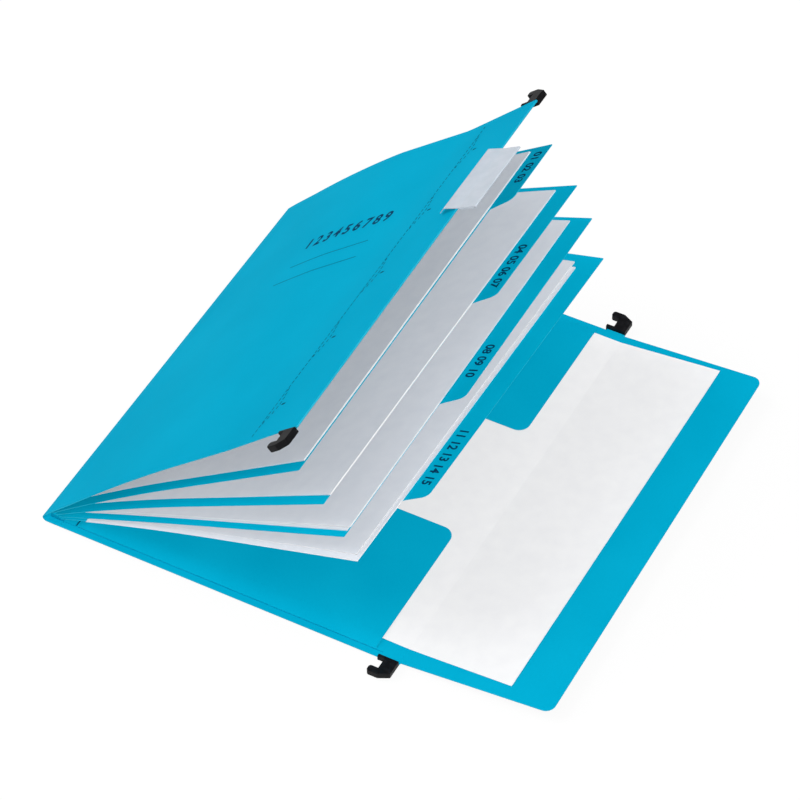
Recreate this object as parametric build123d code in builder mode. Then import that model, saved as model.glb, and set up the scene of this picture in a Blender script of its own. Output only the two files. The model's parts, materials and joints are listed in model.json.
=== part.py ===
"""A hanging file folder of coloured card, lying open like a book.

The spine runs along Y. The rear cover lies flat with its pocket and its long index flap, and the
front cover and four tabbed dividers fan up from the spine, each with sheets filed on it.
Both covers end in a steel rail with a plastic hook at each end, from which the folder hangs.
"""

import os
from collections import namedtuple
from math import atan, cos, degrees, radians, sin

from build123d import *

os.makedirs("parts", exist_ok=True)

# Sizes, in millimetres and degrees. Distances are measured from the spine's fold.

# Paper that the folder is made for
sheet_length = 297.0
sheet_depth = 210.0
sheet_paper = 0.2

# Covers, with their margins round a sheet
cover_margin = 10.5
cover_overreach = 48.5
front_overreach = 51.0
cover_card = 0.5
cover_angle = 43.3
cover_bow = 7.0
bend_share = 0.5

# Spine fold, and the hinge lines that stand in a row along it
fold_radius = 2.9
fold_end_angle = 28.0
hinge_back = 0.3
cover_hinge_drop = 0.6
hinge_step = 2.2
hinge_drops = (0.15, 0.7, 1.4, 2.2)
hinge_gap = 0.3

# Binding strip that carries the dividers
strip_clearance = 0.42
binding_gap = 0.4
binding_overhang = 1.6

# Inner board and pocket on the rear cover
board_card = 0.5
board_inset = 4.5
board_gap = 0.2
pocket_card = 0.4
pocket_start = 24.0
pocket_setback = 18.7
pocket_seam = 2.0
pocket_room = 0.5
cutout_width = 95.5
cutout_centre = 0.3
cutout_depth = 79.8
cutout_fillet = 8.0
slit_distance = 21.7
slit_length = 8.0
slit_width = 0.8

# Index flap past the rear rail
crease_gap = 0.7
flap_reach = 102.0
flap_tilt = 5.0
flap_root_inset = 1.2
flap_fillet = 6.5
crease_clearance = 0.3

# Loose sheet in the pocket
loose_sheet_out = 73.0
loose_sheet_offset = 3.2
loose_sheet_break = 1.3

# Rails, their card sleeves and the hooks
rail_thick = 0.6
rail_depth = 8.0
rail_inset = 1.6
sleeve_card = 0.5
sleeve_depth = 13.0
sleeve_wall = 0.8
hook_thick = 4.5
hook_plate_depth = 14.0
hook_plate_width = 2.0
hook_stem_depth = 9.0
hook_out = 15.0
hook_prong_width = 5.0
hook_prong_depth = 15.0
hook_bevel_depth = 7.0
hook_bevel_width = 3.6
hook_tip_fillet = 1.8
hook_edge_chamfer = 0.4

# Row of punched slots for label tabs on the front cover
slot_count = 5
slot_end_inset = 33.6
slot_setback = 39.0
slot_length = 4.0
slot_width = 1.2

# Dividers, from the front cover down to the rear cover
divider_inset = 4.0
divider_card = 0.4
divider_tab = 15.0
divider_slant = 7.0
divider_fillet = 7.0
tab_root_fillet = 1.5
divider_corner = 0.8
divider_angles = (36.5, 29.7, 23.5, 17.9)
divider_bows = (6.4, 5.6, 3.2, 2.4)
tab_start_shares = (0.8, 0.621, 0.4105, 0.203)

# Filed sheets on the dividers, each slightly out of line: shift along the spine, shift outwards
filed_start = 21.0
filed_lift = 0.05
filed_shifts = {
    "sheet_1": (1.5, -0.4),
    "sheet_2": (1.0, 0.5),
    "sheet_3_under": (-1.5, -0.6),
    "sheet_3": (0.5, 0.6),
    "sheet_4_under": (-7.4, 0.7),
    "sheet_4": (-3.0, -2.0),
}

# Prong fasteners that hold the filed sheets
fastener_distance = 28.5
prong_spacing = 80.0
prong_width = 4.0
prong_thick = 0.25
prong_tongue = 26.0
strip_overhang = 8.0
strip_depth = 8.0
strip_thick = 0.25
keeper_overhang = 10.0
keeper_depth = 9.0
keeper_thick = 0.3
punch_radius = 2.75
prong_clearance = 0.4
seat_gap = 0.05

# Label tab on the front cover
label_width = 61.0
label_end_inset = 52.0
label_foot = 14.5
label_blade = 15.0
label_turn = 10.0
label_wall = 0.5
label_room = 0.5
label_paper = 0.25
label_margin = 1.2
label_fit = 0.3
label_fillet = 2.0

cut_overrun = 5.0

# Places worked out from the sizes

cover_width = sheet_length + 2 * cover_margin
cover_reach = sheet_depth + cover_overreach
front_reach = sheet_depth + front_overreach
half_width = cover_width / 2
board_width = cover_width - 2 * board_inset
divider_width = cover_width - 2 * divider_inset
divider_edge = filed_start + sheet_depth
tab_edge = divider_edge + divider_tab
board_top = cover_card + board_card
sleeve_top = cover_card + rail_thick + sleeve_card
loose_low = sleeve_top + filed_lift
pocket_low = loose_low + sheet_paper + pocket_room
crease_x = cover_reach + crease_gap
crease_z = cover_card + rail_thick
footprint = crease_x + flap_reach * cos(radians(flap_tilt))
cover_hinge_distance = fold_radius - hinge_back
cover_hinge_height = 2 * fold_radius - cover_hinge_drop

Leaf = namedtuple("Leaf", "distance height angle peak reach")
front = Leaf(cover_hinge_distance, cover_hinge_height, cover_angle, cover_bow, front_reach)
dividers = []
leaf_distance = cover_hinge_distance
for drop, angle, peak in zip(hinge_drops, divider_angles, divider_bows):
    leaf_distance += hinge_step
    dividers.append(Leaf(leaf_distance, cover_hinge_height - drop, angle, peak, tab_edge))


def leaf_plane(distance, height, angle):
    """Plane of a sheet: X runs out from the spine, Y along the spine, Z out of the upper face."""
    turn = radians(angle)
    return Plane(
        origin=(distance - footprint / 2, 0, height),
        x_dir=(cos(turn), 0, sin(turn)),
        z_dir=(-sin(turn), 0, cos(turn)),
    )


def side_plane(distance, height, angle):
    """Plane of a sheet's edge as seen from its end: X runs out from the spine, Y upwards."""
    turn = radians(angle)
    return Plane(
        origin=(distance - footprint / 2, 0, height),
        x_dir=(cos(turn), 0, sin(turn)),
        z_dir=(0, -1, 0),
    )


def bow_curve(peak, reach):
    """Curvature and root slope of a leaf that bends over its first part and then runs straight."""
    curve = 2 * peak / (reach * bend_share * (1 - bend_share / 2)) ** 2
    slope = curve * reach * bend_share * (1 - bend_share / 2)
    return curve, slope


def bow(distance, peak, reach):
    """Height of a bowed leaf above its straight line from the hinge to its edge."""
    curve, slope = bow_curve(peak, reach)
    bend = reach * bend_share
    if distance <= bend:
        return slope * distance - curve * distance**2 / 2
    return (curve * bend - slope) * (reach - distance)


def bow_angle(distance, peak, reach):
    """Slope of the bowed leaf in degrees, relative to that straight line."""
    curve, slope = bow_curve(peak, reach)
    return degrees(atan(slope - curve * min(distance, reach * bend_share)))


def along_leaf(leaf, distance):
    """Plane that lies on a bowed leaf at a distance from its hinge."""
    flat = leaf_plane(leaf.distance, leaf.height, leaf.angle)
    spot = flat.from_local_coords((distance, 0, bow(distance, leaf.peak, leaf.reach)))
    slope = bow_angle(distance, leaf.peak, leaf.reach)
    return leaf_plane(spot.X + footprint / 2, spot.Z, leaf.angle + slope)


def bowed_slab(leaf, start, stop, low, thick, width):
    """A bowed card or sheet between two distances from the hinge, centred on the spine's middle."""
    bend = leaf.reach * bend_share
    stations = (start, (start + bend) / 2, bend, stop)
    with BuildPart() as slab:
        with BuildSketch(side_plane(leaf.distance, leaf.height, leaf.angle)):
            with BuildLine():
                rises = [bow(station, leaf.peak, leaf.reach) for station in stations]
                levels = []
                for level in (low, low + thick):
                    levels.append([(station, rise + level) for station, rise in zip(stations, rises)])
                lower, upper = levels
                ThreePointArc(lower[0], lower[1], lower[2])
                Line(lower[2], lower[3])
                Line(lower[3], upper[3])
                Line(upper[3], upper[2])
                ThreePointArc(upper[2], upper[1], upper[0])
                Line(upper[0], lower[0])
            make_face()
        extrude(amount=width / 2, both=True)
    return slab.part


def save(part, name):
    """Label a finished piece and write its file."""
    part.label = name
    export_step(part, f"parts/{name}.step")


# Rear cover: flat card with a relief slit by the spine at each end

with BuildPart() as rear_cover:
    with BuildSketch(leaf_plane(0, 0, 0)):
        with Locations((fold_radius, 0)):
            Rectangle(cover_reach - fold_radius, cover_width, align=(Align.MIN, Align.CENTER))
        with Locations((slit_distance, half_width), (slit_distance, -half_width)):
            Rectangle(slit_width, 2 * slit_length, mode=Mode.SUBTRACT)
    extrude(amount=cover_card)
save(rear_cover.part, "rear_cover")

# Spine fold: the card's rounded turn from the rear cover up towards the front cover

fold_turn = radians(fold_end_angle)
with BuildPart() as spine_fold:
    with BuildSketch(side_plane(fold_radius, fold_radius, 0)):
        with BuildLine():
            inner_radius = fold_radius - cover_card
            outer_end = (-fold_radius * cos(fold_turn), fold_radius * sin(fold_turn))
            inner_end = (-inner_radius * cos(fold_turn), inner_radius * sin(fold_turn))
            ThreePointArc((0, -fold_radius), (-fold_radius, 0), outer_end)
            Line(outer_end, inner_end)
            ThreePointArc(inner_end, (-inner_radius, 0), (0, -inner_radius))
            Line((0, -inner_radius), (0, -fold_radius))
        make_face()
    extrude(amount=half_width, both=True)
save(spine_fold.part, "spine_fold")

# Binding strip: folded card under the dividers' roots, stepped down from the front cover's hinge

with BuildPart() as binding_strip:
    with BuildSketch(side_plane(0, 0, 0)):
        with BuildLine():
            strip_tops = [(leaf.distance, leaf.height - strip_clearance) for leaf in dividers]
            Polyline(
                (fold_radius + binding_gap, board_top),
                (fold_radius + binding_gap, strip_tops[0][1]),
                *strip_tops,
                (strip_tops[-1][0] + binding_overhang, strip_tops[-1][1]),
                (strip_tops[-1][0] + binding_overhang, board_top),
                close=True,
            )
        make_face()
    extrude(amount=board_width / 2, both=True)
save(binding_strip.part, "binding_strip")

# Inner board: the card glued to the rear cover that carries the pocket

board_start = fold_radius + board_gap
board_reach = cover_reach - sleeve_depth
with BuildPart() as inner_board:
    with BuildSketch(leaf_plane(0, cover_card, 0)):
        with Locations((board_start, 0)):
            Rectangle(board_reach - board_start, board_width, align=(Align.MIN, Align.CENTER))
        with Locations((slit_distance, half_width), (slit_distance, -half_width)):
            Rectangle(slit_width, 2 * slit_length, mode=Mode.SUBTRACT)
    extrude(amount=board_card)
save(inner_board.part, "inner_board")

# Pocket: card with a wide cut-out, seamed to the inner board along three sides

pocket_reach = cover_reach - pocket_setback
pocket_depth = pocket_reach - pocket_start
cutout_start = pocket_reach - cutout_depth
pocket_inner_width = board_width - 2 * pocket_seam
cutout_sides = (cutout_centre - cutout_width / 2, cutout_centre + cutout_width / 2)
with BuildPart() as pocket:
    with BuildSketch(leaf_plane(0, board_top, 0)) as pocket_outline:
        with BuildLine():
            Polyline(
                (pocket_start, -board_width / 2),
                (pocket_reach, -board_width / 2),
                (pocket_reach, cutout_sides[0]),
                (cutout_start, cutout_sides[0]),
                (cutout_start, cutout_sides[1]),
                (pocket_reach, cutout_sides[1]),
                (pocket_reach, board_width / 2),
                (pocket_start, board_width / 2),
                close=True,
            )
        make_face()
        fillet(pocket_outline.vertices().sort_by(Axis.Y)[2:6], cutout_fillet)
    extrude(amount=pocket_low + pocket_card - board_top)
    with BuildSketch(leaf_plane(0, board_top, 0)):
        with Locations((pocket_start + pocket_seam, 0)):
            Rectangle(pocket_depth, pocket_inner_width, align=(Align.MIN, Align.CENTER))
    extrude(amount=pocket_low - board_top, mode=Mode.SUBTRACT)
save(pocket.part, "pocket")

# Loose sheet: the part in the pocket, and the part that lies out on the flap

loose_start = crease_x + loose_sheet_out - sheet_depth
with BuildPart() as pocket_sheet:
    with BuildSketch(leaf_plane(0, loose_low, 0)):
        with Locations((loose_start, loose_sheet_offset)):
            Rectangle(
                crease_x - crease_clearance - loose_start, sheet_length, align=(Align.MIN, Align.CENTER)
            )
    extrude(amount=sheet_paper)
save(pocket_sheet.part, "pocket_sheet")

with BuildPart() as pocket_sheet_end:
    with BuildSketch(leaf_plane(crease_x, crease_z, flap_tilt).offset(loose_low - crease_z)):
        with Locations((loose_sheet_break, loose_sheet_offset)):
            Rectangle(loose_sheet_out - loose_sheet_break, sheet_length, align=(Align.MIN, Align.CENTER))
    extrude(amount=sheet_paper)
save(pocket_sheet_end.part, "pocket_sheet_end")

# Index flap: the rear card past its crease, with rounded outer corners

flap_root = half_width - flap_root_inset
with BuildPart() as index_flap:
    with BuildSketch(leaf_plane(crease_x, crease_z, flap_tilt)) as flap_outline:
        with BuildLine():
            Polyline(
                (crease_clearance, -flap_root),
                (flap_reach, -board_width / 2),
                (flap_reach, board_width / 2),
                (crease_clearance, flap_root),
                close=True,
            )
        make_face()
        fillet(flap_outline.vertices().sort_by(Axis.X)[-2:], flap_fillet)
    extrude(amount=board_card)
save(index_flap.part, "index_flap")

# Front cover: bowed card with a row of punched slots

slot_spacing = (cover_width - 2 * slot_end_inset) / (slot_count - 1)
front_slab = bowed_slab(front, hinge_gap, front_reach, -cover_card / 2, cover_card, cover_width)
with BuildPart() as front_cover:
    add(front_slab)
    with BuildSketch(leaf_plane(front.distance, front.height, front.angle)):
        with Locations((front_reach - slot_setback, 0)):
            with GridLocations(0, slot_spacing, 1, slot_count):
                SlotOverall(slot_length, slot_width)
    extrude(amount=cover_bow + cut_overrun, both=True, mode=Mode.SUBTRACT)
save(front_cover.part, "front_cover")

# Rails, sleeves and hooks: the same set at both covers' edges

rear_edge = leaf_plane(cover_reach, cover_card, 0)
front_edge = along_leaf(front, front_reach)
edges = {"rear": (rear_edge, 1), "front": (front_edge.offset(-cover_card / 2), -1)}


def rail_bar(edge, side):
    """Flat steel rail that lies on the cover's card, inside the sleeve."""
    with BuildPart() as bar:
        with BuildSketch(edge):
            with Locations((-rail_inset, 0)):
                Rectangle(rail_depth, cover_width, align=(Align.MAX, Align.CENTER))
        extrude(amount=side * rail_thick)
    return bar.part


def rail_sleeve(edge, side):
    """Card turned over the rail: a wall along the cover's edge and a strip over the rail."""
    with BuildPart() as sleeve:
        with BuildSketch(edge):
            Rectangle(sleeve_wall, cover_width, align=(Align.MAX, Align.CENTER))
        extrude(amount=side * rail_thick)
        with BuildSketch(edge.offset(side * rail_thick)):
            Rectangle(sleeve_depth, cover_width, align=(Align.MAX, Align.CENTER))
        extrude(amount=side * sleeve_card)
    return sleeve.part


def rail_hook(edge, side, end):
    """Hook at a rail's end: a plate along the card's end, a stem, and a prong back to the spine."""
    near_face = end * half_width
    plate_face = near_face + end * hook_plate_width
    tip_face = near_face + end * hook_out
    prong_face = tip_face - end * hook_prong_width
    with BuildPart() as hook:
        with BuildSketch(edge.offset(-side * cover_card)) as outline:
            with BuildLine():
                Polyline(
                    (0, near_face),
                    (0, tip_face - end * hook_bevel_width),
                    (-hook_bevel_depth, tip_face),
                    (-hook_prong_depth, tip_face),
                    (-hook_prong_depth, prong_face),
                    (-hook_stem_depth, prong_face),
                    (-hook_stem_depth, plate_face),
                    (-hook_plate_depth, plate_face),
                    (-hook_plate_depth, near_face),
                    close=True,
                )
            make_face()
            tip_corners = [v for v in outline.vertices() if abs(v.X + hook_prong_depth) < hook_edge_chamfer]
            fillet(tip_corners, hook_tip_fillet)
        extrude(amount=side * hook_thick)
        chamfer(hook.faces().filter_by(edge).edges(), hook_edge_chamfer)
    return hook.part


for cover, (edge, side) in edges.items():
    save(rail_bar(edge, side), f"{cover}_rail")
    save(rail_sleeve(edge, side), f"{cover}_sleeve")
    save(rail_hook(edge, side, -1), f"{cover}_hook_near")
    save(rail_hook(edge, side, 1), f"{cover}_hook_far")

# Dividers: bowed cards whose index tabs start further along the spine on each one


def divider_card_part(leaf, tab_start):
    """One divider card, cut to its index tab and punched for its fastener."""
    slab = bowed_slab(leaf, hinge_gap, tab_edge, -divider_card / 2, divider_card, divider_width)
    with BuildPart() as card:
        add(slab)
        with BuildSketch(leaf_plane(leaf.distance, leaf.height, leaf.angle)) as outline:
            with BuildLine():
                Polyline(
                    (0, -divider_width / 2),
                    (divider_edge, -divider_width / 2),
                    (divider_edge, tab_start - divider_slant / 2),
                    (tab_edge, tab_start + divider_slant / 2),
                    (tab_edge, divider_width / 2),
                    (0, divider_width / 2),
                    close=True,
                )
            make_face()
            fillet(outline.vertices().sort_by(Axis.Y)[3], divider_fillet)
            fillet(outline.vertices().sort_by(Axis.Y)[2], tab_root_fillet)
            outer = outline.vertices().group_by(Axis.X)[-1].sort_by(Axis.Y)[-1]
            near = outline.vertices().group_by(Axis.Y)[0].sort_by(Axis.X)[-1]
            fillet([outer, near], divider_corner)
            with Locations((fastener_distance, 0)):
                with GridLocations(0, prong_spacing, 1, 2):
                    Circle(punch_radius, mode=Mode.SUBTRACT)
        extrude(amount=leaf.peak + cut_overrun, both=True, mode=Mode.INTERSECT)
    return card.part


def filed_sheet(leaf, shift, outwards, level):
    """One punched sheet on a divider, at its own height above the card and slightly out of line."""
    stop = filed_start + sheet_depth + outwards
    slab_width = sheet_length + 2 * (abs(shift) + cut_overrun)
    slab = bowed_slab(leaf, stop - sheet_depth, stop, level, sheet_paper, slab_width)
    with BuildPart() as sheet:
        add(slab)
        with BuildSketch(leaf_plane(leaf.distance, leaf.height, leaf.angle)):
            with Locations((stop - sheet_depth / 2, shift)):
                Rectangle(sheet_depth, sheet_length)
            with Locations((fastener_distance, 0)):
                with GridLocations(0, prong_spacing, 1, 2):
                    Circle(punch_radius, mode=Mode.SUBTRACT)
        extrude(amount=leaf.peak + cut_overrun, both=True, mode=Mode.INTERSECT)
    return sheet.part


sheet_step = sheet_paper + filed_lift
stack_tops = [divider_card / 2] * len(dividers)
for index, leaf in enumerate(dividers):
    tab_start = tab_start_shares[index] * cover_width - half_width
    save(divider_card_part(leaf, tab_start), f"divider_{index + 1}")
for name, (shift, outwards) in filed_shifts.items():
    index = int(name.split("_")[1]) - 1
    save(filed_sheet(dividers[index], shift, outwards, stack_tops[index] + filed_lift), name)
    stack_tops[index] += sheet_step

# Fasteners: a strip with two prongs behind each divider, and a keeper on top of the sheets


def keeper(seat, level):
    """Flat bar on the sheets, with a hole for each prong."""
    with BuildPart() as bar:
        with BuildSketch(seat.offset(level)):
            keeper_length = prong_spacing + 2 * keeper_overhang
            RectangleRounded(keeper_depth, keeper_length, keeper_depth / 2 - prong_clearance)
            hole_depth = prong_width + 2 * prong_clearance
            hole_length = prong_thick + 2 * prong_clearance
            with GridLocations(0, prong_spacing, 1, 2):
                Rectangle(hole_depth, hole_length, mode=Mode.SUBTRACT)
        extrude(amount=keeper_thick)
    return bar.part


def tongue_strip(seat, level):
    """Strip under the divider whose two prongs rise through the holes and lie flat on the keeper."""
    strip_top = -divider_card / 2 - seat_gap
    prong_top = level + keeper_thick + seat_gap + prong_thick
    with BuildPart() as strip:
        with BuildSketch(seat.offset(strip_top)):
            Rectangle(strip_depth, prong_spacing + 2 * strip_overhang)
        extrude(amount=-strip_thick)
        with BuildSketch(seat.offset(strip_top)):
            with GridLocations(0, prong_spacing, 1, 2):
                Rectangle(prong_width, prong_thick)
        extrude(amount=prong_top - strip_top)
        with BuildSketch(seat.offset(prong_top)):
            for end in (-1, 1):
                with Locations((0, end * (prong_spacing + prong_thick - prong_tongue) / 2)):
                    Rectangle(prong_width, prong_tongue)
        extrude(amount=-prong_thick)
    return strip.part


for index, leaf in enumerate(dividers):
    seat = along_leaf(leaf, fastener_distance)
    level = stack_tops[index] + seat_gap
    save(keeper(seat, level), f"keeper_{index + 1}")
    save(tongue_strip(seat, level), f"tongue_strip_{index + 1}")

# Label tab: a clear holder clipped over the front cover's edge, and the paper that slides in it

label_centre = half_width - label_end_inset - label_width / 2
label_edge = front_edge.offset(cover_card / 2 + seat_gap)
blade_turn = front.angle + bow_angle(front.reach, front.peak, front.reach) - label_turn
blade_root = label_edge.from_local_coords((label_margin - 2 * label_wall, 0, 0))
blade = leaf_plane(blade_root.X + footprint / 2, blade_root.Z, blade_turn)
blade_thick = 2 * label_wall + label_room

with BuildPart() as label_holder:
    with BuildSketch(label_edge):
        with Locations((label_margin, label_centre)):
            Rectangle(label_foot + label_margin, label_width, align=(Align.MAX, Align.CENTER))
    extrude(amount=label_wall)
    with BuildSketch(blade) as blade_outline:
        with Locations((0, label_centre)):
            Rectangle(label_blade, label_width, align=(Align.MIN, Align.CENTER))
        fillet(blade_outline.vertices().sort_by(Axis.X)[-2:], label_fillet)
    extrude(amount=blade_thick)
    with BuildSketch(blade.offset(label_wall)):
        with Locations((label_margin, label_centre)):
            Rectangle(
                label_blade - 2 * label_margin, label_width + cut_overrun, align=(Align.MIN, Align.CENTER)
            )
    extrude(amount=label_room, mode=Mode.SUBTRACT)
save(label_holder.part, "label_holder")

with BuildPart() as label_insert:
    with BuildSketch(blade.offset(label_wall + (label_room - label_paper) / 2)):
        with Locations((label_blade / 2, label_centre)):
            Rectangle(label_blade - 2 * label_margin - 2 * label_fit, label_width - 2 * label_fit)
    extrude(amount=label_paper)
save(label_insert.part, "label_insert")
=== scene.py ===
# %% [markdown]
# # A hanging file folder, lying open
#
# The real folder is almost all flat stock: dyed card for the covers, the dividers and the pocket, and office
# paper filed on the dividers. Flat stock looks right when it is cut flat and then bent, so that is what this
# lesson does. Every card starts as a flat outline, and one Geometry Nodes tree bends it between two edge lines.

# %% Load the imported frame
import json
import math
from collections import namedtuple

import bmesh
import bpy
from mathutils import Matrix, Vector
from mathutils.geometry import interpolate_bezier


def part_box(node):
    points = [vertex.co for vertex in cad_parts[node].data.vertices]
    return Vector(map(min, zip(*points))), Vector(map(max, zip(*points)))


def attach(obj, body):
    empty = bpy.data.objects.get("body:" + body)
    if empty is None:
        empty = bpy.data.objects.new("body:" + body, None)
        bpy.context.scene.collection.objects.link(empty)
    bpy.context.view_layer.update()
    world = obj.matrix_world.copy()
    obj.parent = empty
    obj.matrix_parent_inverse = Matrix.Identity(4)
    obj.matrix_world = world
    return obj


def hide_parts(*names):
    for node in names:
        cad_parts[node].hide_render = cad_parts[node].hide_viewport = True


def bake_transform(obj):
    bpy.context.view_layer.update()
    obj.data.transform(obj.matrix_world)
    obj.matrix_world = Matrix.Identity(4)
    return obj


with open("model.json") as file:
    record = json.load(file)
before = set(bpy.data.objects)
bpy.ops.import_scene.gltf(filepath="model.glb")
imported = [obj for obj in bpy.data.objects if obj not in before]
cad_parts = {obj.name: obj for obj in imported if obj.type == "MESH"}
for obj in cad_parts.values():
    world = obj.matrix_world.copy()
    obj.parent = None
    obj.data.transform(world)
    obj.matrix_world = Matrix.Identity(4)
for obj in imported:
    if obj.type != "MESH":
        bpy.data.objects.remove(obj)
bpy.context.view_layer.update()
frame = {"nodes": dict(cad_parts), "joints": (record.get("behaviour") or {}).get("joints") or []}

MM = 0.001
scene = bpy.context.scene

# %% [markdown]
# ## Places that come from the frame
#
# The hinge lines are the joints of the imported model, and the covers' sizes are the boxes of its nodes. Reading
# them from the frame keeps the looks in register with the construction, whatever size that has.

# %% Sizes read from the frame, and the card's own sizes
hinges = {joint["name"]: Vector(joint["pos_m"]) for joint in frame["joints"] if "pos_m" in joint}
spine_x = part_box("spine_fold")[0].x
rear_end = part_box("rear_cover")[1].x
half_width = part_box("rear_cover")[1].y
board_half_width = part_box("inner_board")[1].y
board_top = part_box("inner_board")[1].z
divider_half_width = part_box("divider_1")[1].y
crease = hinges["flap_crease"]

cover_card = 0.5 * MM
divider_card = 0.4 * MM
sheet_paper = 0.2 * MM
sheet_length = 297 * MM
sheet_depth = 210 * MM
print("hinge lines:", {name: tuple(round(v / MM, 2) for v in place) for name, place in hinges.items()})

# %% [markdown]
# ## Edge lines of the leaves
#
# A leaf is a cover or a divider that stands up from the spine. Seen from its end it is a line that bends over
# its first half and then runs straight. The two ends of a leaf differ a little, because card twists when it is
# leafed through, so each leaf has a near line and a far line, and its far end may reach a little further or less.

# %% The leaves' rule
Leaf = namedtuple("Leaf", "hinge near_angle far_angle near_bow far_bow reach far_reach")
bend_share = 0.5
front_reach = 261 * MM
filed_start = 21 * MM
divider_edge = filed_start + sheet_depth
divider_tab = 15 * MM
tab_edge = divider_edge + divider_tab

edge_skew = 1.2 * MM
front_leaf = Leaf(
    hinges["front_cover_fold"], 43.2, 43.7, 3.1 * MM, 4.7 * MM, front_reach + edge_skew, front_reach - edge_skew
)
divider_leaves = [
    Leaf(hinges["divider_1_fold"], 36.1, 37.0, 2.7 * MM, 5.6 * MM, tab_edge, tab_edge + 3.5 * MM),
    Leaf(hinges["divider_2_fold"], 29.8, 29.6, 2.7 * MM, 6.2 * MM, tab_edge, tab_edge + 1.8 * MM),
    Leaf(hinges["divider_3_fold"], 23.7, 23.7, 0.9 * MM, 4.4 * MM, tab_edge, tab_edge - 0.7 * MM),
    Leaf(hinges["divider_4_fold"], 19.3, 16.1, 2.8 * MM, 1.3 * MM, tab_edge, tab_edge - 5 * MM),
]


def outward(angle):
    """Unit vector that leaves the spine at an angle above the floor."""
    return Vector((math.cos(math.radians(angle)), 0, math.sin(math.radians(angle))))


def bowed_line(hinge, angle, bow, reach, steps=60):
    """Points of a leaf's edge line, from the hinge to the leaf's edge."""
    along = outward(angle)
    across = outward(angle + 90)
    bend = reach * bend_share
    curve = 2 * bow / (bend * (1 - bend_share / 2)) ** 2
    slope = curve * bend * (1 - bend_share / 2)
    points = []
    for step in range(steps + 1):
        distance = reach * step / steps
        bent = min(distance, bend)
        rise = slope * bent - curve * bent**2 / 2 - (curve * bend - slope) * (distance - bent)
        points.append(hinge + along * distance + across * rise)
    return points


def line_length(points):
    """Length of a line of points."""
    return sum((b - a).length for a, b in zip(points, points[1:]))


def leaf_lines(leaf):
    """The near and the far edge line of a leaf."""
    near = bowed_line(leaf.hinge, leaf.near_angle, leaf.near_bow, leaf.reach)
    far = bowed_line(leaf.hinge, leaf.far_angle, leaf.far_bow, leaf.far_reach)
    return near, far


for leaf in [front_leaf, *divider_leaves]:
    print("leaf line length in mm:", [round(line_length(line) / MM, 1) for line in leaf_lines(leaf)])

# %% [markdown]
# ## Cutting flat stock
#
# An outline is a few corners, each with its own radius. Edge loops are filled with triangles, which allows real
# holes, and planes then slice the sheet into a grid, so that it can bend smoothly.

# %% Outlines and flat sheets
ARC_STEPS = 8


def rounded(corners):
    """Outline from (x, y, radius) corners, with an arc in place of each corner that has a radius."""
    outline = []
    for index, (x, y, radius) in enumerate(corners):
        corner = Vector((x, y))
        if radius <= 0:
            outline.append(corner)
            continue
        before = (Vector(corners[index - 1][:2]) - corner).normalized()
        after = (Vector(corners[(index + 1) % len(corners)][:2]) - corner).normalized()
        half_turn = before.angle(after) / 2
        middle = corner + (before + after).normalized() * radius / math.sin(half_turn)
        start = corner + before * radius / math.tan(half_turn) - middle
        stop = corner + after * radius / math.tan(half_turn) - middle
        sweep = start.angle_signed(stop)
        for step in range(ARC_STEPS + 1):
            outline.append(middle + Matrix.Rotation(-sweep * step / ARC_STEPS, 2) @ start)
    return outline


def slice_flat(bm, axis, places):
    """Cut a flat mesh at each place along an axis."""
    normal = Vector((axis == 0, axis == 1, 0))
    for place in places:
        geometry = bm.verts[:] + bm.edges[:] + bm.faces[:]
        bmesh.ops.bisect_plane(bm, geom=geometry, dist=1e-7, plane_co=normal * place, plane_no=normal)


def cut_flat(name, outline, pitch, holes=(), creases=()):
    """Flat sheet of an outline with holes, X out from the spine and Y along it, sliced at a pitch."""
    bm = bmesh.new()
    for ring in (outline, *holes):
        corners = [bm.verts.new((point[0], point[1], 0)) for point in ring]
        for first, second in zip(corners, corners[1:] + corners[:1]):
            bm.edges.new((first, second))
    bmesh.ops.triangle_fill(bm, edges=bm.edges[:], use_beauty=True, normal=(0, 0, 1))
    for axis, step in enumerate(pitch):
        low = min(point[axis] for point in outline)
        high = max(point[axis] for point in outline)
        count = max(1, round((high - low) / step))
        slice_flat(bm, axis, [low + (high - low) * index / count for index in range(1, count)])
    slice_flat(bm, 0, creases)
    bmesh.ops.recalc_face_normals(bm, faces=bm.faces[:])
    for face in bm.faces:
        if face.normal.z < 0:
            face.normal_flip()
    mesh = bpy.data.meshes.new(name)
    bm.to_mesh(mesh)
    bm.free()
    piece = bpy.data.objects.new(name, mesh)
    scene.collection.objects.link(piece)
    return piece


def rectangle(x_low, x_high, y_low, y_high, radius=0.0):
    """Outline of a rectangle with equal corners."""
    corners = [(x_low, y_low), (x_high, y_low), (x_high, y_high), (x_low, y_high)]
    return rounded([(x, y, radius) for x, y in corners])


def lift(piece, height):
    """Raise a flat piece above the plane that it is bent from."""
    piece.data.transform(Matrix.Translation((0, 0, height)))


print("points on each rounded corner:", ARC_STEPS + 1)

# %% [markdown]
# ## Bending a flat sheet between two lines
#
# The tree takes a flat sheet and two edge lines. A point's X says how far along the lines it goes, its Y says
# how far it lies between the near and the far line, and its Z is its height above the surface. This is the rule
# that every card and sheet of the folder follows, so one tree serves them all, the print on them included.

# %% Helpers for node trees
def operate(tree, kind, operation, values):
    """Node of a kind that works on sockets or constants."""
    node = tree.nodes.new(kind)
    node.operation = operation
    for socket, value in zip(node.inputs, values):
        if isinstance(value, bpy.types.NodeSocket):
            tree.links.new(value, socket)
        else:
            socket.default_value = value
    return node.outputs[0]


def link_math(tree, operation, first, second):
    """Math on two numbers."""
    return operate(tree, "ShaderNodeMath", operation, (first, second))


def link_vector(tree, operation, first, second):
    """Math on two vectors."""
    return operate(tree, "ShaderNodeVectorMath", operation, (first, second))


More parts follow.
